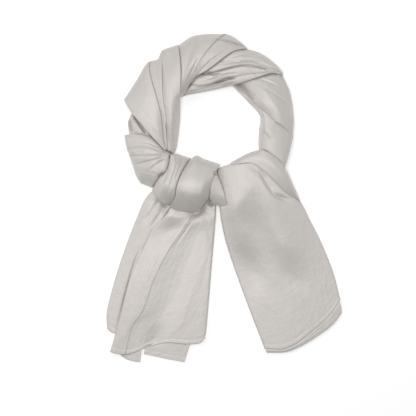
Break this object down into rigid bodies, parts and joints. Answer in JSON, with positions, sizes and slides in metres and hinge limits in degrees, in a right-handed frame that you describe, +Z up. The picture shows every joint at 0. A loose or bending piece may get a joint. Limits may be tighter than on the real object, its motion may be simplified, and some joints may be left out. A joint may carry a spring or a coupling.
{
  "type": "hijab scarf tied in a ring",
  "caption": "Satin hijab twisted into a ring, tied in one knot and laid flat, with its folded tails lying below the knot.",
  "frame": {"origin": "centre of the laid-out scarf's footprint, on the surface it lies on", "axes": "+Y from the tails' hems towards the ring, +Z up from the surface, +X towards the right tail"},
  "size_m": [0.4936, 0.688, 0.0529],
  "materials": {
    "satin": "soft silver-grey satin"
  },
  "bodies": {
    "root": {"tail_right_roll": "satin", "tail_right_panel": "satin", "tail_right_under": "satin", "tail_left_panel": "satin", "tail_left_outer": "satin", "tail_left_under": "satin", "tail_left_corner": "satin", "ring_top": "satin", "ring_right": "satin", "ring_crossing": "satin", "ring_left": "satin", "ring_back": "satin", "ring_lower_left": "satin", "knot_left": "satin", "knot_front": "satin", "knot_tuck": "satin"}
  },
  "joints": []
}
